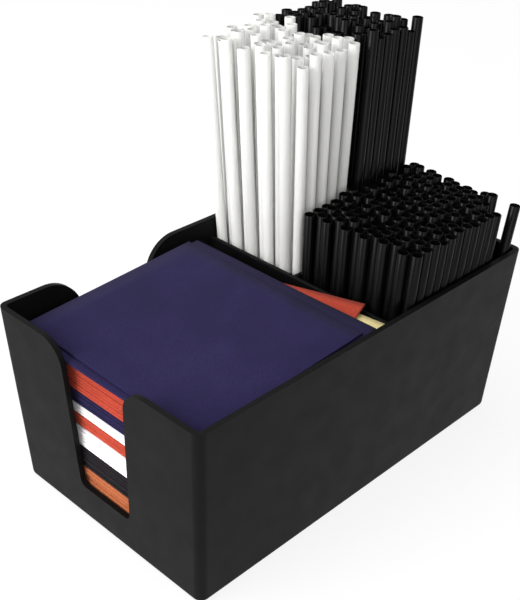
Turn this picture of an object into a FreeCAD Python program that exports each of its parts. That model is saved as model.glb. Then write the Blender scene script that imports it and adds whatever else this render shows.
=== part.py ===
"""Bar caddy: a drafted, moulded tray that dispenses folded napkins and holds drinking straws.

Frame: origin on the underside of the base at its centre, +X toward the straw end,
+Y toward the long wall with the finger cut-out, +Z up. Millimetres.
"""
import FreeCAD, Part
import math
import os
import random

import Sketcher
from FreeCAD import Placement, Rotation, Vector

os.makedirs("parts", exist_ok=True)
doc = FreeCAD.newDocument("BarCaddy")

# ------------------------------------------------------------------ driving dimensions
SIZES = {
    # tray
    "tray_length": 241.3, "tray_width": 146.05, "tray_height": 104.8, "wall": 3.0,
    "draft_angle": 3.0, "corner_round": 5.0, "base_round": 3.0,
    # finger slot in the short end wall
    "slot_floor": 21.5, "slot_half_floor": 18.8, "slot_flare": 14.0, "slot_toe": 4.0,
    # finger cut-out in the long wall
    "cutout_centre": -49.5, "cutout_half_floor": 19.2, "cutout_flare": 21.0,
    # partition
    "cross_face": 19.85, "plate": 2.5, "plate_top": 94.0, "fit_gap": 0.15,
    "plate_edge_round": 0.9, "middle_shift": 5.0,
    # napkins
    "napkin_side": 127.0, "napkin_thick": 1.75, "napkin_pitch": 1.9, "fold_round": 0.7,
    "napkin_front": -112.1, "napkin_near": -63.7,
    # straws
    "straw_diameter": 6.0, "straw_bore": 5.5, "straw_pitch": 6.3, "long_straw": 203.0,
    "short_straw": 127.0,
}
sheet = doc.addObject("Spreadsheet::Sheet", "Sizes")
for line, (name, value) in enumerate(SIZES.items(), start=1):
    sheet.set(f"A{line}", name)
    sheet.set(f"B{line}", str(value))
    sheet.setAlias(f"B{line}", name)
doc.recompute()

DRAFT = math.tan(math.radians(SIZES["draft_angle"]))
WALL_ACROSS = SIZES["wall"] / math.cos(math.radians(SIZES["draft_angle"]))


# ------------------------------------------------------------------ small helpers
def bind(item, prop, expression):
    """Tie a property to the sheet; $name stands for a driving dimension."""
    for name in sorted(SIZES, key=len, reverse=True):
        expression = expression.replace(f"${name}", f"Sizes.{name}")
    item.setExpression(prop, expression)


def sketch_on(body, name, role, offset=None):
    """Sketch attached to one of the body's own origin planes."""
    sketch = body.newObject("Sketcher::SketchObject", name)
    plane = next(f for f in body.Origin.OriginFeatures if f.Role == role)
    sketch.AttachmentSupport = [(plane, "")]
    sketch.MapMode = "FlatFace"
    if offset is not None:
        bind(sketch, "AttachmentOffset.Base.z", offset)
    return sketch


def outline(sketch, corners):
    """Closed polygon; each corner is (x, y, x expression, y expression)."""
    points = [Vector(x, y, 0) for x, y, _, _ in corners]
    count = len(points)
    for index in range(count):
        sketch.addGeometry(Part.LineSegment(points[index], points[(index + 1) % count]), False)
    for index in range(count):
        sketch.addConstraint(Sketcher.Constraint("Coincident", index, 2, (index + 1) % count, 1))
    for index, (x, y, x_text, y_text) in enumerate(corners):
        for kind, number, text in (("DistanceX", x, x_text), ("DistanceY", y, y_text)):
            label = f"{kind[-1].lower()}_{index}"
            place = sketch.addConstraint(Sketcher.Constraint(kind, -1, 1, index, 1, number))
            sketch.renameConstraint(place, label)
            bind(sketch, f"Constraints.{label}", text)


def edges_where(shape, test):
    """Names of the edges whose middle and direction satisfy a test."""
    found = []
    for number, edge in enumerate(shape.Edges, start=1):
        middle = edge.valueAt((edge.FirstParameter + edge.LastParameter) / 2)
        ends = [vertex.Point for vertex in edge.Vertexes]
        run = (ends[-1] - ends[0]) if len(ends) > 1 else Vector(0, 0, 0)
        if test(middle, run):
            found.append(f"Edge{number}")
    if not found:
        raise RuntimeError("no edge matches")
    return found


def round_edges(body, name, base, edges, radius):
    """Fillet feature bound to one driving dimension."""
    fillet = body.newObject("PartDesign::Fillet", name)
    fillet.Base = (base, edges)
    bind(fillet, "Radius", radius)
    doc.recompute()
    return fillet


# ------------------------------------------------------------------ tray
def make_housing():
    """One moulding: drafted block, rounded, hollowed, then the two finger openings."""
    body = doc.addObject("PartDesign::Body", "housing")
    half_l, half_w = SIZES["tray_length"] / 2, SIZES["tray_width"] / 2
    height = SIZES["tray_height"]
    inset = height * DRAFT

    base = sketch_on(body, "FootOutline", "XY_Plane")
    x_text = "($tray_length/2 - $tray_height*tan($draft_angle*1deg))"
    y_text = "($tray_width/2 - $tray_height*tan($draft_angle*1deg))"
    outline(base, [
        (-(half_l - inset), -(half_w - inset), f"-{x_text}", f"-{y_text}"),
        (half_l - inset, -(half_w - inset), x_text, f"-{y_text}"),
        (half_l - inset, half_w - inset, x_text, y_text),
        (-(half_l - inset), half_w - inset, f"-{x_text}", y_text),
    ])
    block = body.newObject("PartDesign::Pad", "DraftedBlock")
    block.Profile = base
    bind(block, "Length", "$tray_height")
    bind(block, "TaperAngle", "$draft_angle")
    doc.recompute()
    if block.Shape.BoundBox.XLength < SIZES["tray_length"] - 1:
        bind(block, "TaperAngle", "-$draft_angle")
        doc.recompute()

    corners = edges_where(block.Shape, lambda m, run: abs(run.z) > 50)
    rounded = round_edges(body, "CornerRounds", block, corners, "$corner_round")
    foot = edges_where(rounded.Shape, lambda m, run: abs(m.z) < 0.01)
    footed = round_edges(body, "FootRound", rounded, foot, "$base_round")

    # cavity sunk from the rim, leaving the walls and the floor
    mouth = sketch_on(body, "CavityMouth", "XY_Plane", "$tray_height")
    x_in = "($tray_length/2 - $wall/cos($draft_angle*1deg))"
    y_in = "($tray_width/2 - $wall/cos($draft_angle*1deg))"
    wide, deep = half_l - WALL_ACROSS, half_w - WALL_ACROSS
    outline(mouth, [
        (-wide, -deep, f"-{x_in}", f"-{y_in}"),
        (wide, -deep, x_in, f"-{y_in}"),
        (wide, deep, x_in, y_in),
        (-wide, deep, f"-{x_in}", y_in),
    ])
    cavity = body.newObject("PartDesign::Pocket", "Cavity")
    cavity.Profile = mouth
    bind(cavity, "Length", "$tray_height - $wall")
    bind(cavity, "TaperAngle", "-$draft_angle")
    doc.recompute()
    floor_face = max((f for f in cavity.Shape.Faces if abs(f.CenterOfMass.z - SIZES["wall"]) < 0.01),
                     key=lambda f: f.Area)
    if floor_face.BoundBox.XLength > 2 * wide - 1:
        bind(cavity, "TaperAngle", "$draft_angle")
        doc.recompute()
    inner = edges_where(cavity.Shape, lambda m, run: abs(run.z) > 50 and abs(m.x) < half_l - 4
                        and abs(m.y) < half_w - 4 and abs(run.x) > 1)
    hollow = round_edges(body, "CavityCorners", cavity, inner, "$corner_round - $wall + 0.5")
    skirt = edges_where(hollow.Shape, lambda m, run: abs(m.z - SIZES["wall"]) < 0.01)
    hollow = round_edges(body, "CavityFoot", hollow, skirt, "0.9")

    # finger slot through the short end wall
    slot = sketch_on(body, "SlotOutline", "YZ_Plane", "-$tray_length/2 - 2")
    low, rise = SIZES["slot_floor"], height + 4 - SIZES["slot_floor"]
    half_low = SIZES["slot_half_floor"]
    half_high = half_low + rise * DRAFT
    high_text = "($slot_half_floor + ($tray_height + 4 - $slot_floor)*tan($draft_angle*1deg))"
    outline(slot, [
        (-half_low, low, "-$slot_half_floor", "$slot_floor"),
        (half_low, low, "$slot_half_floor", "$slot_floor"),
        (half_high, height + 4, high_text, "$tray_height + 4"),
        (-half_high, height + 4, f"-{high_text}", "$tray_height + 4"),
    ])
    before = hollow.Shape.Volume
    slotted = body.newObject("PartDesign::Pocket", "FingerSlot")
    slotted.Profile = slot
    bind(slotted, "Length", "20")
    slotted.Reversed = True
    doc.recompute()
    if not slotted.Shape.Volume < before - 1000:
        slotted.Reversed = False
        doc.recompute()

    # finger cut-out through the long wall
    cut = sketch_on(body, "CutoutOutline", "XZ_Plane", "-$tray_width/2 - 2")
    middle = SIZES["cutout_centre"]
    half_low = SIZES["cutout_half_floor"]
    half_high = half_low + rise * DRAFT
    high_text = "($cutout_half_floor + ($tray_height + 4 - $slot_floor)*tan($draft_angle*1deg))"
    outline(cut, [
        (middle - half_low, low, "$cutout_centre - $cutout_half_floor", "$slot_floor"),
        (middle + half_low, low, "$cutout_centre + $cutout_half_floor", "$slot_floor"),
        (middle + half_high, height + 4, f"$cutout_centre + {high_text}", "$tray_height + 4"),
        (middle - half_high, height + 4, f"$cutout_centre - {high_text}", "$tray_height + 4"),
    ])
    before = slotted.Shape.Volume
    opened = body.newObject("PartDesign::Pocket", "FingerCutout")
    opened.Profile = cut
    bind(opened, "Length", "20")
    doc.recompute()
    if not opened.Shape.Volume < before - 1000:
        opened.Reversed = not opened.Reversed
        doc.recompute()

    # flared mouths and rounded toes of both openings
    def on_slot(m):
        return m.x < -half_l + 12 and abs(m.y) < half_w - 20

    def on_cutout(m):
        return m.y > half_w - 12 and abs(m.x - middle) < 45

    mouth = edges_where(opened.Shape, lambda m, run: on_slot(m) and abs(run.x) > 2
                        and abs(run.y) < 0.5 and m.z > height - 1)
    step = round_edges(body, "SlotMouth", opened, mouth, "$slot_flare")
    mouth = edges_where(step.Shape, lambda m, run: on_cutout(m) and abs(run.y) > 2
                        and abs(run.x) < 0.5 and m.z > height - 1)
    step = round_edges(body, "CutoutMouth", step, mouth, "$cutout_flare")
    toes = edges_where(step.Shape, lambda m, run: abs(m.z - low) < 0.1 and (
        (on_slot(m) and abs(run.x) > 2 and abs(run.y) < 0.5)
        or (on_cutout(m) and abs(run.y) > 2 and abs(run.x) < 0.5)))
    round_edges(body, "OpeningToes", step, toes, "$slot_toe")
    return body


# ------------------------------------------------------------------ partition
def inner_half(across, height_text):
    """Expression for the half size of the cavity at a height."""
    return f"(${across}/2 - $wall/cos($draft_angle*1deg) - ($tray_height - {height_text})*tan($draft_angle*1deg))"


def inner_value(across, height):
    """Value of the same half size."""
    return SIZES[across] / 2 - WALL_ACROSS - (SIZES["tray_height"] - height) * DRAFT


def make_partition():
    """T-shaped moulding: a plate across the tray and a middle plate to the straw-end wall."""
    body = doc.addObject("PartDesign::Body", "partition")
    gap, top, floor = SIZES["fit_gap"], SIZES["plate_top"], SIZES["wall"] + 0.9
    foot_text = "($wall + 0.9)"

    cross = sketch_on(body, "CrossOutline", "YZ_Plane", "$cross_face")
    low, high = inner_value("tray_width", floor) - gap - 0.8, inner_value("tray_width", top) - gap
    low_text = f"({inner_half('tray_width', foot_text)} - $fit_gap - 0.8)"
    high_text = f"({inner_half('tray_width', '$plate_top')} - $fit_gap)"
    outline(cross, [
        (-low, floor, f"-{low_text}", foot_text),
        (low, floor, low_text, foot_text),
        (high, top, high_text, "$plate_top"),
        (-high, top, f"-{high_text}", "$plate_top"),
    ])
    across = body.newObject("PartDesign::Pad", "CrossPlate")
    across.Profile = cross
    bind(across, "Length", "$plate")
    doc.recompute()

    middle = sketch_on(body, "MiddleOutline", "XZ_Plane", "-$plate/2 - $middle_shift")
    start = SIZES["cross_face"] + 0.5
    low, high = inner_value("tray_length", floor) - gap - 0.8, inner_value("tray_length", top) - gap
    low_text = f"({inner_half('tray_length', foot_text)} - $fit_gap - 0.8)"
    high_text = f"({inner_half('tray_length', '$plate_top')} - $fit_gap)"
    outline(middle, [
        (start, floor, "$cross_face + 0.5", foot_text),
        (low, floor, low_text, foot_text),
        (high, top, high_text, "$plate_top"),
        (start, top, "$cross_face + 0.5", "$plate_top"),
    ])
    along = body.newObject("PartDesign::Pad", "MiddlePlate")
    along.Profile = middle
    bind(along, "Length", "$plate")
    doc.recompute()
    crown = edges_where(along.Shape, lambda m, run: abs(m.z - top) < 0.01
                        and max(abs(run.x), abs(run.y)) > 20)
    round_edges(body, "CrownRounds", along, crown, "$plate_edge_round")
    return body


# ------------------------------------------------------------------ napkins
# pack name, height of its lowest napkin, how many folded napkins
PACKS = [
    ("pack_brown", 3.4, 14),
    ("pack_black", 30.3, 6),
    ("pack_white_low", 42.0, 6),
    ("pack_red_low", 53.7, 4),
    ("pack_white_high", 61.6, 3),
    ("pack_navy_low", 67.6, 4),
    ("pack_red_high", 75.5, 7),
    ("pack_navy_high", 89.1, 1),
]
# loose napkins fanned on top: name, place of the near left-hand corner, size along, size
# across, turn and tilt in degrees
FANNED = [
    ("napkin_cream_fan", (-25.0, -68.4, 91.25), 44.0, 106.0, 8.0, -3.5),
    ("napkin_red_fan", (-31.6, -62.2, 92.85), 56.0, 112.0, 18.5, -3.9),
    ("napkin_navy_fan", (-114.2, -67.4, 91.4), 118.0, 127.0, 0.6, -4.0),
    ("napkin_navy_top", (-112.6, -63.6, 93.4), 108.0, 127.0, -0.8, -4.0),
]


def folded_napkin(name, length_text=None, width_text=None, thick_text="$napkin_thick"):
    """A folded napkin: a flat slab whose leading fold is rounded over."""
    slab = doc.addObject("Part::Box", name)
    bind(slab, "Length", length_text or "$napkin_side")
    bind(slab, "Width", width_text or "$napkin_side")
    bind(slab, "Height", thick_text)
    doc.recompute()
    fold = doc.addObject("Part::Fillet", name + "_folded")
    fold.Base = slab
    numbers = [int(e[4:]) for e in edges_where(slab.Shape, lambda m, run: abs(m.x) < 0.01
                                                and abs(run.y) > 1)]
    fold.Edges = [(number, SIZES["fold_round"], SIZES["fold_round"]) for number in numbers]
    return slab, fold


def make_pack(name, floor, count):
    """A pack is a pile of separate folded napkins, each a hair off its neighbours."""
    rng = random.Random(name)
    napkins = []
    for index in range(count):
        slab, fold = folded_napkin(f"{name}_{index + 1}")
        shift_x, shift_y = rng.uniform(-0.35, 0.35), rng.uniform(-0.35, 0.35)
        bind(fold, "Placement.Base.x", f"$napkin_front + {shift_x:.3f}")
        bind(fold, "Placement.Base.y", f"$napkin_near + {shift_y:.3f}")
        bind(fold, "Placement.Base.z", f"{floor} + {index}*$napkin_pitch")
        napkins.append(fold)
    pile = doc.addObject("Part::Compound", name)
    pile.Links = napkins
    return pile


def make_fanned(name, corner, length, width, turn, tilt):
    """A loose napkin lying across the pile."""
    slab, fold = folded_napkin(f"{name}_slab", f"{length}", f"{width}", "$napkin_thick - 0.25")
    pose = Rotation(Vector(0, 0, 1), turn) * Rotation(Vector(0, 1, 0), tilt)
    fold.Placement = Placement(Vector(*corner), pose)
    fold.Label = name
    return fold


# ------------------------------------------------------------------ straws
ROW_START = SIZES["middle_shift"] + SIZES["plate"] / 2 + 0.7 + SIZES["straw_diameter"] / 2


def straw_bundle(name, length_text, seats):
    """Tubes of one bundle; a seat is (foot point, unit direction)."""
    skins, bores = [], []
    for index, (foot, way) in enumerate(seats, start=1):
        for kind, group in (("skin", skins), ("bore", bores)):
            rod = doc.addObject("Part::Cylinder", f"{name}_{kind}_{index}")
            bind(rod, "Radius", "$straw_diameter/2" if kind == "skin" else "$straw_bore/2")
            reach = 0.0 if kind == "skin" else 1.0
            bind(rod, "Height", f"{length_text} + {2 * reach}")
            turn = Rotation(Vector(0, 0, 1), way)
            rod.Placement = Placement(foot - way * reach, turn)
            group.append(rod)
    outer = doc.addObject("Part::Compound", f"{name}_skins")
    outer.Links = skins
    inner = doc.addObject("Part::Compound", f"{name}_bores")
    inner.Links = bores
    tubes = doc.addObject("Part::Cut", name)
    tubes.Base = outer
    tubes.Tool = inner
    return tubes


def cell_seats(x_from, x_to, y_to, lean, seed, proud, first=0):
    """Close-packed seats in a cell, in rows along X from the middle plate outward.

    lean is (slope along X, growth of it with x, x where it is that slope, growth of the
    slope across with distance, loose play in both). Returns one list of seats for each row.
    """
    tilt_x, grow_x, still_x, grow_y, play_x, play_y = lean
    rng = random.Random(seed)
    pitch = SIZES["straw_pitch"]
    rows = []
    y, row = ROW_START, 0
    while y <= y_to + 1e-6:
        seats = []
        x = x_from + (pitch / 2 if (row + first) % 2 else 0.0)
        while x <= x_to + 1e-6:
            lift = rng.uniform(0.0, proud)
            slope_x = tilt_x + grow_x * (x - still_x) + rng.uniform(-play_x, play_x)
            slope_y = grow_y * (y - ROW_START) + rng.uniform(-play_y, play_y)
            way = Vector(slope_x, slope_y, 1.0)
            way.normalize()
            foot_z = SIZES["wall"] + 1.0 + lift
            foot = Vector(x + slope_x * foot_z, y + slope_y * foot_z, foot_z)
            seats.append((foot, way))
            x += pitch
        rows.append(seats)
        y += pitch * math.sqrt(3) / 2
        row += 1
    return rows


def make_bundle(stem, length_text, rows, per_node):
    """Bundle cut into nodes of neighbouring rows."""
    made = []
    for number, start in enumerate(range(0, len(rows), per_node), start=1):
        seats = [seat for row in rows[start:start + per_node] for seat in row]
        made.append(straw_bundle(f"{stem}_{number}", length_text, seats))
    return made


housing = make_housing()
partition = make_partition()
nodes = [housing, partition]
nodes += [make_pack(*pack) for pack in PACKS]
nodes += [make_fanned(*sheet_of) for sheet_of in FANNED]

far_foot = inner_value("tray_width", 4.0) - SIZES["straw_diameter"] / 2 - 0.7
turned_foot = far_foot + 2 * SIZES["middle_shift"]

white_rows = cell_seats(28.8, 60.4, far_foot, (0.0, 0.00247, 42.36, 0.00144, 0.004, 0.002),
                        "white", 7.0, first=1)
tall_rows = cell_seats(66.9, 108.0, far_foot, (0.0455, 0.0, 66.9, 0.00144, 0.0008, 0.0015),
                       "tall", 9.0, first=1)
short_rows = cell_seats(26.2, 108.4, turned_foot, (0.0, 0.0006, 26.2, 0.00092, 0.0015, 0.0015),
                        "short", 4.0)


def mirrored(seats):
    """The same seats on the other side of the middle plate."""
    turn = 2 * SIZES["middle_shift"]
    return [(Vector(f.x, turn - f.y, f.z), Vector(w.x, -w.y, w.z)) for f, w in seats]


def clear_of_corner(seats):
    """Seats that leave the corner free for the straw leaning in it."""
    return [(f, w) for f, w in seats if not (f.y < -52.0 and f.x > 94.0)]


short_rows = [clear_of_corner(mirrored(row)) for row in short_rows]
nodes += make_bundle("white_straws", "$long_straw", white_rows, 3)
nodes += make_bundle("tall_black_straws", "$long_straw", tall_rows, 3)
nodes += make_bundle("short_black_straws", "$short_straw", short_rows, 2)
lean = Vector(0.105, -0.048, 1.0)
lean.normalize()
nodes.append(straw_bundle("leaning_straw", "$short_straw", [(Vector(102.9, -60.9, 4.2), lean)]))
doc.recompute()

# ------------------------------------------------------------------ check and write
for item in doc.Objects:
    if "Invalid" in item.State or "Error" in item.State:
        raise RuntimeError(f"{item.Name} did not compute: {item.State}")
total = 0
for node in nodes:
    shape = node.Shape
    if shape.isNull() or not shape.isValid():
        raise RuntimeError(f"{node.Name} is not a valid shape")
    total += len(shape.Solids)
    box = shape.optimalBoundingBox()
    print(f"{node.Label:24s} {len(shape.Solids):3d} solids  x {box.XMin:7.1f} {box.XMax:7.1f}"
          f"  y {box.YMin:7.1f} {box.YMax:7.1f}  z {box.ZMin:6.1f} {box.ZMax:6.1f}")
    shape.exportStep(f"parts/{node.Label}.step")
print(len(nodes), "nodes", total, "solids")
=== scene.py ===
"""Bar caddy with napkins and straws: the pieces, their finishes and the stage."""

import math
import random

import bmesh
import bpy
from mathutils import Matrix, Vector, noise


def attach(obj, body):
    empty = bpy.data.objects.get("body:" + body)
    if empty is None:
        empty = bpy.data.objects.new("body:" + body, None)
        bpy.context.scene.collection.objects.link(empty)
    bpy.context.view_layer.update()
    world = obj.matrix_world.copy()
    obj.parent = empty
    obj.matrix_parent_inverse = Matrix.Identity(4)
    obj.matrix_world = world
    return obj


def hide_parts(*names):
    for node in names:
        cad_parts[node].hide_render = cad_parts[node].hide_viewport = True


bl_info = {
    "name": "Bar caddy",
    "version": (1, 0, 0),
    "blender": (4, 5, 0),
    "location": "View3D > Sidebar > Caddy",
    "description": "Builds a moulded bar caddy with its napkins and straws",
    "category": "Object",
}

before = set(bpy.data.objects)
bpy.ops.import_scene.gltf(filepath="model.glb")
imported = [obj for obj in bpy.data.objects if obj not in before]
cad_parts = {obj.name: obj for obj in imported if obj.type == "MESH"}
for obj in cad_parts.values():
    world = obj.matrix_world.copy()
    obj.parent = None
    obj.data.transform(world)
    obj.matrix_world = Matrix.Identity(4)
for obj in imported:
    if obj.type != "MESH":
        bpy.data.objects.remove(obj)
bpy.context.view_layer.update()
MM = 0.001


# ------------------------------------------------------------------ settings
class CaddySizes(bpy.types.PropertyGroup):
    """Sizes a user would change."""

    rim_round: bpy.props.FloatProperty(
        name="Rim round", description="Rounding of the tray's moulded edges",
        default=0.8 * MM, unit="LENGTH", precision=5)
    napkin_side: bpy.props.FloatProperty(
        name="Napkin side", description="Side of a folded napkin",
        default=127.0 * MM, unit="LENGTH", precision=5)
    napkin_pitch: bpy.props.FloatProperty(
        name="Napkin pitch", description="Height that one folded napkin takes in a pile",
        default=1.9 * MM, unit="LENGTH", precision=5)
    ply: bpy.props.FloatProperty(
        name="Ply", description="Thickness of one layer of a napkin's tissue",
        default=0.26 * MM, unit="LENGTH", precision=5)
    straw_diameter: bpy.props.FloatProperty(
        name="Straw diameter", description="Outside diameter of a straw",
        default=6.0 * MM, unit="LENGTH", precision=5)
    straw_wall: bpy.props.FloatProperty(
        name="Straw wall", description="Wall of a straw",
        default=0.25 * MM, unit="LENGTH", precision=5)
    long_straw: bpy.props.FloatProperty(
        name="Long straw", description="Length of a long straw",
        default=203.0 * MM, unit="LENGTH", precision=5)
    short_straw: bpy.props.FloatProperty(
        name="Short straw", description="Length of a short straw",
        default=127.0 * MM, unit="LENGTH", precision=5)


def colour(name, what, value):
    """A colour setting."""
    return bpy.props.FloatVectorProperty(
        name=name, description=what, subtype="COLOR", size=3, min=0.0, max=1.0, default=value)


class CaddyColours(bpy.types.PropertyGroup):
    """Colours a user would change, in linear light."""

    tray: colour("Tray", "Moulded tray and partition", (0.0050, 0.0050, 0.0051))
    brown: colour("Brown paper", "Lowest pile of napkins", (0.36, 0.105, 0.042))
    black: colour("Black paper", "Black napkins", (0.012, 0.010, 0.012))
    white: colour("White paper", "White napkins", (0.80, 0.78, 0.80))
    red: colour("Red paper", "Red napkins", (0.42, 0.056, 0.031))
    navy: colour("Navy paper", "Navy napkins", (0.0160, 0.0124, 0.0500))
    cream: colour("Cream paper", "Pale yellow napkin", (0.84, 0.72, 0.34))
    frosted: colour("Frosted straws", "Long pale straws", (0.95, 0.95, 0.93))
    gloss: colour("Black straws", "Black straws", (0.0022, 0.0022, 0.0023))
    floor: colour("Floor", "Floor and backdrop", (0.93, 0.93, 0.93))


# ------------------------------------------------------------------ finishes
CLOUD_ROUGHNESS = 0.55      # how busy the finer layers of a noise are


class Finish:
    """A node material on Object coordinates."""

    def __init__(self, name, roughness, **sockets):
        self.material = bpy.data.materials.new(name)
        self.material.use_nodes = True
        self.tree = self.material.node_tree
        self.skin = self.tree.nodes["Principled BSDF"]
        self.skin.inputs["Roughness"].default_value = roughness
        for socket, value in sockets.items():
            self.skin.inputs[socket.replace("_", " ")].default_value = value
        self.place = self.add("ShaderNodeTexCoord").outputs["Object"]

    def add(self, kind, **values):
        """A new node; values set its own properties."""
        node = self.tree.nodes.new(kind)
        for key, value in values.items():
            setattr(node, key, value)
        return node

    def join(self, out, socket):
        """Link an output to an input."""
        self.tree.links.new(out, socket)

    def stretched(self, x, y, z):
        """Object coordinates scaled unevenly, for grain with a direction."""
        node = self.add("ShaderNodeMapping")
        node.inputs["Scale"].default_value = (x, y, z)
        self.join(self.place, node.inputs["Vector"])
        return node.outputs["Vector"]

    def clouds(self, scale, detail=3.0, place=None):
        """Soft noise as a grey value."""
        node = self.add("ShaderNodeTexNoise")
        node.inputs["Scale"].default_value = scale
        node.inputs["Detail"].default_value = detail
        node.inputs["Roughness"].default_value = CLOUD_ROUGHNESS
        self.join(place or self.place, node.inputs["Vector"])
        return node.outputs["Fac"]

    def cells(self, scale):
        """Distance to scattered dots as a grey value."""
        node = self.add("ShaderNodeTexVoronoi")
        node.inputs["Scale"].default_value = scale
        self.join(self.place, node.inputs["Vector"])
        return node.outputs["Distance"]

    def between(self, value, low, high, start=0.3, end=0.7):
        """Map a grey value from start..end to low..high."""
        node = self.add("ShaderNodeMapRange")
        ends = {"From Min": start, "From Max": end, "To Min": low, "To Max": high}
        for socket, number in ends.items():
            node.inputs[socket].default_value = number
        self.join(value, node.inputs["Value"])
        return node.outputs["Result"]

    def shade(self, rgb, *greys):
        """Base colour: rgb brightened or darkened by each grey factor."""
        last = None
        for grey in greys:
            mix = self.add("ShaderNodeMix", data_type="RGBA", blend_type="MULTIPLY")
            mix.inputs["Factor"].default_value = 1.0
            if last is None:
                mix.inputs["A"].default_value = (*rgb, 1.0)
            else:
                self.join(last, mix.inputs["A"])
            self.join(grey, mix.inputs["B"])
            last = mix.outputs["Result"]
        self.join(last, self.skin.inputs["Base Color"])

    def relief(self, *heights):
        """Stacked bumps; each is (height, strength, distance)."""
        last = None
        for height, strength, distance in heights:
            bump = self.add("ShaderNodeBump")
            bump.inputs["Strength"].default_value = strength
            bump.inputs["Distance"].default_value = distance
            self.join(height, bump.inputs["Height"])
            if last is not None:
                self.join(last, bump.inputs["Normal"])
            last = bump.outputs["Normal"]
        self.join(last, self.skin.inputs["Normal"])


def moulded_black(rgb):
    """Satin black ABS: fine spark-eroded grain, faint flow marks, patches a little smoother."""
    f = Finish("moulded_black", 0.5, IOR=1.5, Specular_IOR_Level=0.07)
    grain = f.clouds(scale=2600.0, detail=2.0)
    flow = f.clouds(scale=9.0)
    wear = f.clouds(scale=70.0, detail=4.0)
    f.shade(rgb, f.between(flow, low=0.86, high=1.16), f.between(grain, low=0.94, high=1.06))
    f.join(f.between(wear, low=0.44, high=0.54), f.skin.inputs["Roughness"])
    f.relief((grain, 0.16, 0.00006), (f.clouds(scale=38.0, detail=2.0), 0.10, 0.0004))
    return f.material


def tissue(name, rgb, deep=0.75):
    """Crepe tissue: embossed dots, fine crepe lines, uneven dye. deep is its darkest fibre."""
    f = Finish(name, 0.94, IOR=1.35, Sheen_Weight=0.02, Sheen_Roughness=0.6,
               Specular_IOR_Level=0.15)
    crepe = f.clouds(scale=1.0, place=f.stretched(420.0, 1500.0, 900.0))
    fibre = f.clouds(scale=1900.0, detail=4.0)
    dye = f.clouds(scale=24.0)
    f.shade(rgb, f.between(dye, low=0.84, high=1.18), f.between(crepe, low=0.93, high=1.07),
            f.between(fibre, low=deep, high=2.0 - deep))
    f.relief((crepe, 0.5, 0.00016), (f.cells(scale=620.0), 0.25, 0.00010))
    return f.material


def frosted_straw(rgb):
    """Thin frosted polypropylene that lets some light through, with lengthwise streaks."""
    f = Finish("frosted_straw", 0.45, IOR=1.35, Transmission_Weight=0.3)
    own = f.add("ShaderNodeAttribute", attribute_name="own_shade").outputs["Fac"]
    streak = f.clouds(scale=1.0, detail=2.0, place=f.stretched(1500.0, 1500.0, 6.0))
    f.shade(rgb, f.between(own, low=0.86, high=1.05, start=0.0, end=1.0),
            f.between(streak, low=0.94, high=1.03))
    f.relief((streak, 0.10, 0.00005))
    return f.material


def gloss_straw(rgb):
    """Glossy black polypropylene straw with faint extrusion lines."""
    f = Finish("gloss_straw", 0.24, IOR=1.49, Specular_IOR_Level=0.12)
    own = f.add("ShaderNodeAttribute", attribute_name="own_shade").outputs["Fac"]
    streak = f.clouds(scale=1.0, detail=2.0, place=f.stretched(1400.0, 1400.0, 5.0))
    f.shade(rgb, f.between(own, low=0.7, high=1.4, start=0.0, end=1.0),
            f.between(streak, low=0.9, high=1.1))
    f.join(f.between(streak, low=0.18, high=0.32), f.skin.inputs["Roughness"])
    f.relief((streak, 0.10, 0.00004))
    return f.material


FINISHES = {}


def finishes():
    """The finishes by record slot, made once."""
    if not FINISHES:
        c = bpy.context.scene.caddy_colours
        FINISHES.update({
            "black_abs": moulded_black(tuple(c.tray)),
            "paper_brown": tissue("tissue_brown", tuple(c.brown)),
            "paper_black": tissue("tissue_black", tuple(c.black)),
            "paper_white": tissue("tissue_white", tuple(c.white), 0.95),
            "paper_red": tissue("tissue_red", tuple(c.red)),
            "paper_navy": tissue("tissue_navy", tuple(c.navy)),
            "paper_cream": tissue("tissue_cream", tuple(c.cream), 0.94),
            "frosted_white": frosted_straw(tuple(c.frosted)),
            "gloss_black": gloss_straw(tuple(c.gloss)),
        })
    return FINISHES


# ------------------------------------------------------------------ shared steps
MERGE = 1e-6                        # points nearer than this are one
CREASE_ANGLE = math.radians(50)     # faces that meet more sharply than this make an edge
FLAT_ANGLE = math.radians(0.5)      # faces that meet more flatly than this are one face
ROUND_SEGMENTS = 3                  # faces across a rounded edge


def piece_from(bm, name, slot, body, *nodes):
    """Turn a bmesh into a finished piece that rides on its body."""
    mesh = bpy.data.meshes.new(name)
    bm.to_mesh(mesh)
    bm.free()
    mesh.shade_smooth()
    piece = bpy.data.objects.new(name, mesh)
    bpy.context.scene.collection.objects.link(piece)
    mesh.materials.append(finishes()[slot])
    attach(piece, body)
    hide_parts(*nodes)
    return piece


# ------------------------------------------------------------------ tray
def rounded_copy(node, width):
    """Merged copy of a moulded node with its sharp edges rounded over."""
    bm = bmesh.new()
    bm.from_mesh(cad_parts[node].data)
    bmesh.ops.remove_doubles(bm, verts=bm.verts[:], dist=MERGE)
    bmesh.ops.dissolve_limit(bm, angle_limit=FLAT_ANGLE, verts=bm.verts[:], edges=bm.edges[:])
    sharp = [e for e in bm.edges if len(e.link_faces) == 2
             and e.calc_face_angle(0.0) > CREASE_ANGLE]
    bmesh.ops.bevel(bm, geom=sharp, offset=width, offset_type="OFFSET",
                    segments=ROUND_SEGMENTS, profile=0.5, affect="EDGES", material=-1,
                    clamp_overlap=True)
    bmesh.ops.remove_doubles(bm, verts=bm.verts[:], dist=MERGE)
    return bm


def soften(piece):
    """Weighted normals, so that rounds shade smoothly next to flat walls."""
    weigh = piece.modifiers.new("Even shading", "WEIGHTED_NORMAL")
    weigh.weight = 50
    weigh.keep_sharp = True


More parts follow.
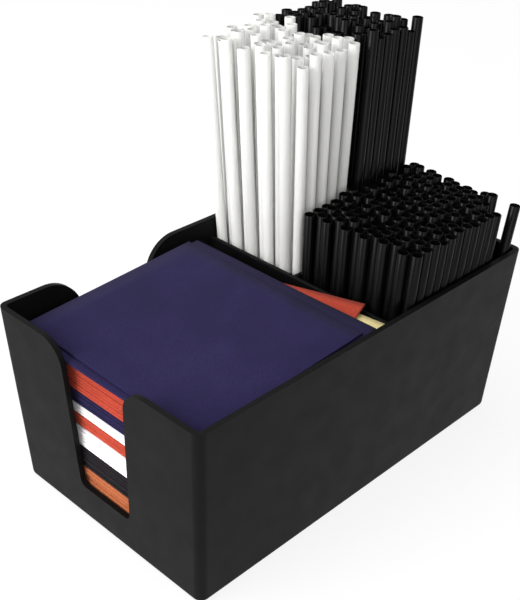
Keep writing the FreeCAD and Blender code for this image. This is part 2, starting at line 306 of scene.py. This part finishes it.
class CADDY_OT_tray(bpy.types.Operator):
    """Tray and partition"""

    bl_idname = "caddy.tray"
    bl_label = "Tray"

    def execute(self, context):
        bm = rounded_copy("housing", context.scene.caddy_sizes.rim_round)
        soften(piece_from(bm, "tray_shell", "black_abs", "tray", "housing"))
        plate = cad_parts["partition"]
        plate.data.materials.clear()
        plate.data.materials.append(finishes()["black_abs"])
        return {"FINISHED"}


# ------------------------------------------------------------------ napkins
# pile, height of its lowest napkin, how many, slot
PACKS = [
    ("pack_brown", 3.4, 14, "paper_brown"),
    ("pack_black", 30.3, 6, "paper_black"),
    ("pack_white_low", 42.0, 6, "paper_white"),
    ("pack_red_low", 53.7, 4, "paper_red"),
    ("pack_white_high", 61.6, 3, "paper_white"),
    ("pack_navy_low", 67.6, 4, "paper_navy"),
    ("pack_red_high", 75.5, 7, "paper_red"),
    ("pack_navy_high", 89.1, 1, "paper_navy"),
]
# loose napkin, near left-hand corner, size along, size across, turn, tilt, slot
LOOSE = [
    ("napkin_cream_fan", (-25.0, -68.4, 91.25), 44.0, 106.0, 8.0, -3.5, "paper_cream"),
    ("napkin_red_fan", (-31.6, -62.2, 92.85), 56.0, 112.0, 18.5, -3.9, "paper_red"),
    ("napkin_navy_fan", (-114.2, -67.4, 91.4), 118.0, 127.0, 0.6, -4.0, "paper_navy"),
    ("napkin_navy_top", (-112.6, -63.6, 93.4), 108.0, 127.0, -0.8, -4.0, "paper_navy"),
]
NAPKIN_CORNER = (-112.1 * MM, -63.7 * MM)

ARC_STEPS = 3               # faces on each half of a fold's round
EDGE_CROWDING = 0.8         # below 1, faces get shorter toward the free edges
FOLD_GAPS = 3.3             # a folded napkin's thickness, in gaps between its layers
PLY_SLIP = 0.5              # how far a free edge may lie off its neighbours, in mm
RIPPLE = 0.132 * MM         # height of the tissue's fine ripple
FINE, FINE_UP = 22, 40      # how fast the ripple changes along the sheet, and upward
SLOW = 14                   # how fast a loose napkin's swell changes
SWELL = 0.9 * MM            # height of that swell
LOOSE_THICK = 1.45 * MM     # a loose napkin, folded
PILE_SHARE = 0.93           # a piled napkin's thickness, as a share of the pitch
PILE_FACES, LOOSE_FACES = 5, 9                          # from a fold to a free edge
SHIFT_ALONG, SHIFT_ACROSS = (-0.5, 0.6), (-0.5, 0.5)    # play of a napkin in its pile, in mm
TWIST = 0.25                # and its turn, in degrees


def fold_steps(reach, bend, flats):
    """Arc lengths from one free edge round a fold to the other free edge."""
    quarter = math.pi / 2 * bend
    arc = [quarter * k / ARC_STEPS for k in range(-ARC_STEPS, ARC_STEPS + 1)]
    flat = [quarter + (reach - quarter) * (k / flats) ** EDGE_CROWDING
            for k in range(1, flats + 1)]
    return [-s for s in reversed(flat)] + arc + flat


def round_fold(along, bend, lift=0.0):
    """Place on a folded layer: distance from the fold's outside, and height."""
    quarter = math.pi / 2 * bend
    if abs(along) <= quarter:
        turn = along / bend
        return bend - (bend + lift) * math.cos(turn), (bend + lift) * math.sin(turn)
    side = math.copysign(1.0, along)
    return bend + abs(along) - quarter, side * (bend + lift)


def quarter_folded(bm, long, wide, thick, pose, rng, flats=PILE_FACES, wave=0.0):
    """Add one sheet folded twice: the second fold leads, the first lies along the near side."""
    gap = thick / FOLD_GAPS
    first, second = gap / 2, gap
    us = fold_steps(wide - first, first, flats)
    vs = fold_steps(long - second, second, flats)
    grid = bmesh.ops.create_grid(bm, x_segments=len(us) - 1, y_segments=len(vs) - 1, size=1.0)
    seed = Vector((rng.uniform(0, 50), rng.uniform(0, 50), rng.uniform(0, 50)))
    slip = [rng.uniform(-PLY_SLIP, PLY_SLIP) * MM for _ in range(4)]
    for vert in grid["verts"]:
        u = us[round((vert.co.x + 1) / 2 * (len(us) - 1))]
        v = vs[round((vert.co.y + 1) / 2 * (len(vs) - 1))]
        across, lift = round_fold(u, first)
        along, height = round_fold(v, second, lift)
        layer = (1 if u > 0 else 0) + (2 if v > 0 else 0)
        across += slip[layer] * min(1.0, across / wide) ** 2
        along += slip[(layer + 1) % 4] * min(1.0, along / long) ** 2
        here = Vector((along * FINE, across * FINE, height * FINE_UP)) + seed
        place = Vector((along, across, height + thick / 2 + noise.noise(here) * RIPPLE))
        if wave:
            slow = Vector((along * SLOW, across * SLOW, 0.0)) + seed
            place.z += noise.noise(slow) * wave
        vert.co = pose @ place


def give_ply(piece, ply):
    """Thickness of the tissue."""
    solid = piece.modifiers.new("Ply", "SOLIDIFY")
    solid.thickness = ply
    solid.offset = 0.0
    solid.use_even_offset = False


def pack_of(name, floor, count, slot, sizes):
    """A pile of quarter-folded napkins, each a hair off its neighbours."""
    rng = random.Random(name)
    bm = bmesh.new()
    for index in range(count):
        pose = Matrix.Translation((
            NAPKIN_CORNER[0] + rng.uniform(*SHIFT_ALONG) * MM,
            NAPKIN_CORNER[1] + rng.uniform(*SHIFT_ACROSS) * MM,
            floor * MM + index * sizes.napkin_pitch))
        pose = pose @ Matrix.Rotation(math.radians(rng.uniform(-TWIST, TWIST)), 4, "Z")
        quarter_folded(bm, sizes.napkin_side, sizes.napkin_side,
                       sizes.napkin_pitch * PILE_SHARE, pose, rng)
    give_ply(piece_from(bm, f"{name}_folded", slot, name, name), sizes.ply)


class CADDY_OT_packs(bpy.types.Operator):
    """Piles of folded napkins"""

    bl_idname = "caddy.packs"
    bl_label = "Napkin piles"

    def execute(self, context):
        for name, floor, count, slot in PACKS:
            pack_of(name, floor, count, slot, context.scene.caddy_sizes)
        return {"FINISHED"}


class CADDY_OT_loose(bpy.types.Operator):
    """Loose napkins fanned on top"""

    bl_idname = "caddy.loose"
    bl_label = "Loose napkins"

    def execute(self, context):
        sizes = context.scene.caddy_sizes
        for name, corner, long, wide, turn, tilt, slot in LOOSE:
            rng = random.Random(name)
            pose = (Matrix.Translation(Vector(corner) * MM)
                    @ Matrix.Rotation(math.radians(turn), 4, "Z")
                    @ Matrix.Rotation(math.radians(tilt), 4, "Y"))
            bm = bmesh.new()
            quarter_folded(bm, long * MM, wide * MM, LOOSE_THICK, pose, rng,
                           flats=LOOSE_FACES, wave=SWELL)
            piece = piece_from(bm, f"{name}_folded", slot, name, name)
            give_ply(piece, sizes.ply)
        return {"FINISHED"}


# ------------------------------------------------------------------ straws
# the tray and its partition, in mm
TRAY_WIDTH, TRAY_HEIGHT, TRAY_WALL, TRAY_FLOOR = 146.05, 104.8, 3.0, 4.0
DRAFT_ANGLE = math.radians(3.0)
PLATE = 2.5                 # the partition's thickness
MIDDLE_SHIFT = 5.0          # how far its middle plate is off the tray's middle
# the straws, in mm
STRAW_RADIUS = 3.0
STRAW_GAP = 0.7             # between a straw's foot and a wall or plate
STRAW_PITCH = 6.3
ROW_STEP = STRAW_PITCH * math.sqrt(3) / 2
ROW_START = MIDDLE_SHIFT + PLATE / 2 + STRAW_GAP + STRAW_RADIUS
FAR_FOOT = (TRAY_WIDTH / 2 - TRAY_WALL / math.cos(DRAFT_ANGLE)
            - (TRAY_HEIGHT - TRAY_FLOOR) * math.tan(DRAFT_ANGLE) - (STRAW_RADIUS + STRAW_GAP))
JUST_OVER = 1e-6            # keeps a seat that falls exactly on the limit
STRAW_SIDES = 10
STRAW_LIP = 0.12 * MM

WHITE_CELL = dict(x_from=28.8, x_to=60.4, y_to=FAR_FOOT, seed="white", proud=7.0, first=1,
                  tilt_x=0.0, grow_x=0.00247, still_x=42.36, grow_y=0.00144,
                  play_x=0.004, play_y=0.002)
TALL_CELL = dict(x_from=66.9, x_to=108.0, y_to=FAR_FOOT, seed="tall", proud=9.0, first=1,
                 tilt_x=0.0455, grow_x=0.0, still_x=66.9, grow_y=0.00144,
                 play_x=0.0008, play_y=0.0015)
SHORT_CELL = dict(x_from=26.2, x_to=108.4, y_to=FAR_FOOT + 2 * MIDDLE_SHIFT, seed="short",
                  proud=4.0, first=0, tilt_x=0.0, grow_x=0.0006, still_x=26.2,
                  grow_y=0.00092, play_x=0.0015, play_y=0.0015)
LEANING_ROOM = (94.0, -52.0)        # the corner past this x and y is the leaning straw's
LEANING_FOOT, LEANING_WAY, LEANING_SHADE = (102.9, -60.9, 4.2), (0.105, -0.048, 1.0), 0.6


def cell_seats(x_from, x_to, y_to, seed, proud, first, tilt_x, grow_x, still_x, grow_y,
               play_x, play_y):
    """Close-packed seats in a cell, in rows along X; one list for each row.

    The slope along X is tilt_x at still_x and grows by grow_x a millimetre. The slope across
    grows by grow_y a millimetre from the first row. play_x and play_y are the looseness in
    both, and proud is how far a foot may stand off the floor. The first row is set half a
    pitch over where first is 1.
    """
    rng = random.Random(seed)
    rows, y, row = [], ROW_START, 0
    while y <= y_to + JUST_OVER:
        seats = []
        x = x_from + (STRAW_PITCH / 2 if (row + first) % 2 else 0.0)
        while x <= x_to + JUST_OVER:
            foot_z = TRAY_FLOOR + rng.uniform(0.0, proud)
            slope_x = tilt_x + grow_x * (x - still_x) + rng.uniform(-play_x, play_x)
            slope_y = grow_y * (y - ROW_START) + rng.uniform(-play_y, play_y)
            foot = Vector((x + slope_x * foot_z, y + slope_y * foot_z, foot_z)) * MM
            seats.append((foot, Vector((slope_x, slope_y, 1.0)).normalized()))
            x += STRAW_PITCH
        rows.append(seats)
        y += ROW_STEP
        row += 1
    return rows


def across_the_middle(rows):
    """Seats mirrored to the other side of the middle plate."""
    over = 2 * MIDDLE_SHIFT * MM
    return [[(Vector((f.x, over - f.y, f.z)), Vector((w.x, -w.y, w.z))) for f, w in row]
            for row in rows]


def add_straw(bm, layer, foot, way, length, sizes, shade):
    """One open tube: rings up the outside, over the lip and back down the bore."""
    turn = Vector((0, 0, 1)).rotation_difference(way).to_matrix().to_4x4()
    pose = Matrix.Translation(foot) @ turn
    outer, bore = sizes.straw_diameter / 2, sizes.straw_diameter / 2 - sizes.straw_wall
    stations = [(bore, 0.0), (outer, 0.0), (outer, length - STRAW_LIP),
                (outer - STRAW_LIP, length), (bore, length)]
    rings = [bmesh.ops.create_circle(bm, segments=STRAW_SIDES, radius=radius,
                                     matrix=pose @ Matrix.Translation((0, 0, height)))["verts"]
             for radius, height in stations]
    for low, high in zip(rings, rings[1:] + rings[:1]):
        for k in range(STRAW_SIDES):
            after = (k + 1) % STRAW_SIDES
            bm.faces.new((low[k], low[after], high[after], high[k]))
    for ring in rings:
        for vert in ring:
            vert[layer] = shade


def crisp(piece):
    """Smooth tube walls with a clear rim."""
    piece.data.set_sharp_from_angle(angle=CREASE_ANGLE)


def bundle_pieces(stem, body, rows, per_node, length, slot, sizes):
    """One piece for each node of neighbouring rows."""
    rng = random.Random(stem)
    for number, start in enumerate(range(0, len(rows), per_node), start=1):
        bm = bmesh.new()
        layer = bm.verts.layers.float.new("own_shade")
        for row in rows[start:start + per_node]:
            for foot, way in row:
                add_straw(bm, layer, foot, way, length, sizes, rng.random())
        node = f"{stem}_{number}"
        crisp(piece_from(bm, f"{node}_tubes", slot, body, node))


class CADDY_OT_straws(bpy.types.Operator):
    """Bundles of straws"""

    bl_idname = "caddy.straws"
    bl_label = "Straws"

    def execute(self, context):
        sizes = context.scene.caddy_sizes
        bundle_pieces("white_straws", "white_bundle", cell_seats(**WHITE_CELL), 3,
                      sizes.long_straw, "frosted_white", sizes)
        bundle_pieces("tall_black_straws", "tall_black_bundle", cell_seats(**TALL_CELL), 3,
                      sizes.long_straw, "gloss_black", sizes)
        x_room, y_room = (edge * MM for edge in LEANING_ROOM)
        short = [[(f, w) for f, w in row if not (f.y < y_room and f.x > x_room)]
                 for row in across_the_middle(cell_seats(**SHORT_CELL))]
        bundle_pieces("short_black_straws", "short_black_bundle", short, 2,
                      sizes.short_straw, "gloss_black", sizes)
        bm = bmesh.new()
        layer = bm.verts.layers.float.new("own_shade")
        add_straw(bm, layer, Vector(LEANING_FOOT) * MM, Vector(LEANING_WAY).normalized(),
                  sizes.short_straw, sizes, LEANING_SHADE)
        crisp(piece_from(bm, "leaning_straw_tube", "gloss_black", "leaning_straw",
                         "leaning_straw"))
        return {"FINISHED"}


# ------------------------------------------------------------------ stage
CAMERA_AT = Vector((-0.36028, -0.33569, 0.38390))
CAMERA_AZIMUTH, CAMERA_HEIGHT, CAMERA_ROLL = -136.2228, 30.8691, 1.4606
CAMERA_LENS, SENSOR_WIDTH = 65.43, 36.0
FLOOR_HALF, FLOOR_DROP = 25.0, 0.0002
FLOOR_GLOW = 0.85                   # share of plain white in what is seen of the floor
ROOM_FILL, ROOM_SEEN = 0.66, 0.99   # strength of the room's light, and of its wall as seen
# lamp, place, what it is aimed at, size, power
LAMPS = [
    ("lamp_left", (-1.25, 0.30, 0.75), (0, 0, 0.05), 0.8, 15.5),
    ("lamp_above", (-0.25, 0.45, 1.6), (0, 0, 0.05), 1.0, 10.0),
    ("lamp_front", (-0.7, -1.3, 0.8), (0, 0, 0.12), 1.0, 5.5),
]


def camera_axes():
    """Right, up and back directions of the camera."""
    turn, rise, roll = (math.radians(a) for a in (CAMERA_AZIMUTH, CAMERA_HEIGHT, CAMERA_ROLL))
    back = Vector((math.cos(rise) * math.cos(turn), math.cos(rise) * math.sin(turn),
                   math.sin(rise)))
    right = Vector((0, 0, 1)).cross(back).normalized()
    up = back.cross(right)
    return (math.cos(roll) * right + math.sin(roll) * up,
            -math.sin(roll) * right + math.cos(roll) * up, back)


def area_lamp(name, place, target, size, power):
    """Soft square lamp aimed at a point."""
    lamp = bpy.data.lights.new(name, "AREA")
    lamp.shape, lamp.size, lamp.energy = "SQUARE", size, power
    holder = bpy.data.objects.new(name, lamp)
    bpy.context.scene.collection.objects.link(holder)
    holder.location = place
    holder.rotation_euler = (Vector(target) - Vector(place)).to_track_quat("-Z", "Y").to_euler()


def pale_floor(rgb):
    """White to the eye and in reflections, with the object's shadow kept soft."""
    f = Finish("pale_floor", 0.9, Specular_IOR_Level=0.1)
    f.shade(rgb, f.between(f.clouds(scale=4.0), low=0.995, high=1.0))
    glow = f.add("ShaderNodeEmission")
    glow.inputs["Color"].default_value = (1.0, 1.0, 1.0, 1.0)
    path, either = f.add("ShaderNodeLightPath"), f.add("ShaderNodeMath", operation="MAXIMUM")
    part, mix = f.add("ShaderNodeMath", operation="MULTIPLY"), f.add("ShaderNodeMixShader")
    f.join(path.outputs["Is Camera Ray"], either.inputs[0])
    f.join(path.outputs["Is Glossy Ray"], either.inputs[1])
    f.join(either.outputs[0], part.inputs[0])
    part.inputs[1].default_value = FLOOR_GLOW
    f.join(part.outputs[0], mix.inputs["Fac"])
    f.join(f.skin.outputs[0], mix.inputs[1])
    f.join(glow.outputs[0], mix.inputs[2])
    f.join(mix.outputs[0], f.tree.nodes["Material Output"].inputs["Surface"])
    return f.material


def soft_room():
    """Even white light from all round, and a white wall for the eye."""
    world = bpy.data.worlds.new("soft_room")
    world.use_nodes = True
    tree = world.node_tree
    tree.nodes.clear()
    out, mix = tree.nodes.new("ShaderNodeOutputWorld"), tree.nodes.new("ShaderNodeMixShader")
    path = tree.nodes.new("ShaderNodeLightPath")
    tree.links.new(path.outputs["Is Camera Ray"], mix.inputs["Fac"])
    for place, strength in ((1, ROOM_FILL), (2, ROOM_SEEN)):
        light = tree.nodes.new("ShaderNodeBackground")
        light.inputs["Color"].default_value = (1, 1, 1, 1)
        light.inputs["Strength"].default_value = strength
        tree.links.new(light.outputs[0], mix.inputs[place])
    tree.links.new(mix.outputs[0], out.inputs["Surface"])
    return world


class CADDY_OT_stage(bpy.types.Operator):
    """Floor, light and camera"""

    bl_idname = "caddy.stage"
    bl_label = "Stage"

    def execute(self, context):
        scene = context.scene
        scene.view_settings.view_transform = "Standard"

        bm = bmesh.new()
        bmesh.ops.create_grid(bm, x_segments=8, y_segments=8, size=FLOOR_HALF)
        mesh = bpy.data.meshes.new("pale_floor")
        bm.to_mesh(mesh)
        bm.free()
        floor = bpy.data.objects.new("pale_floor", mesh)
        scene.collection.objects.link(floor)
        floor.location.z = -FLOOR_DROP
        mesh.materials.append(pale_floor(tuple(scene.caddy_colours.floor)))

        scene.world = soft_room()
        for lamp in LAMPS:
            area_lamp(*lamp)

        camera = bpy.data.cameras.new("camera")
        camera.lens, camera.sensor_width = CAMERA_LENS, SENSOR_WIDTH
        camera.clip_start, camera.clip_end = 0.01, 60.0
        holder = bpy.data.objects.new("camera", camera)
        scene.collection.objects.link(holder)
        turn = Matrix(camera_axes()).transposed().to_4x4()
        holder.matrix_world = Matrix.Translation(CAMERA_AT) @ turn
        scene.camera = holder
        return {"FINISHED"}


# ------------------------------------------------------------------ panel
class CADDY_PT_panel(bpy.types.Panel):
    """Sizes, colours and steps"""

    bl_idname = "CADDY_PT_panel"
    bl_label = "Bar caddy"
    bl_space_type = "VIEW_3D"
    bl_region_type = "UI"
    bl_category = "Caddy"

    def draw(self, context):
        for group in (context.scene.caddy_sizes, context.scene.caddy_colours):
            column = self.layout.column()
            for key in group.__annotations__:
                column.prop(group, key)
        for step in STEPS:
            self.layout.operator(step.bl_idname)


STEPS = (CADDY_OT_stage, CADDY_OT_tray, CADDY_OT_packs, CADDY_OT_loose, CADDY_OT_straws)
CLASSES = (CaddySizes, CaddyColours, *STEPS, CADDY_PT_panel)


def register():
    for item in CLASSES:
        bpy.utils.register_class(item)
    bpy.types.Scene.caddy_sizes = bpy.props.PointerProperty(type=CaddySizes)
    bpy.types.Scene.caddy_colours = bpy.props.PointerProperty(type=CaddyColours)


def unregister():
    del bpy.types.Scene.caddy_colours
    del bpy.types.Scene.caddy_sizes
    for item in reversed(CLASSES):
        bpy.utils.unregister_class(item)


def main():
    register()
    bpy.ops.caddy.stage()
    bpy.ops.caddy.tray()
    bpy.ops.caddy.packs()
    bpy.ops.caddy.loose()
    bpy.ops.caddy.straws()


if __name__ == "__main__":
    main()
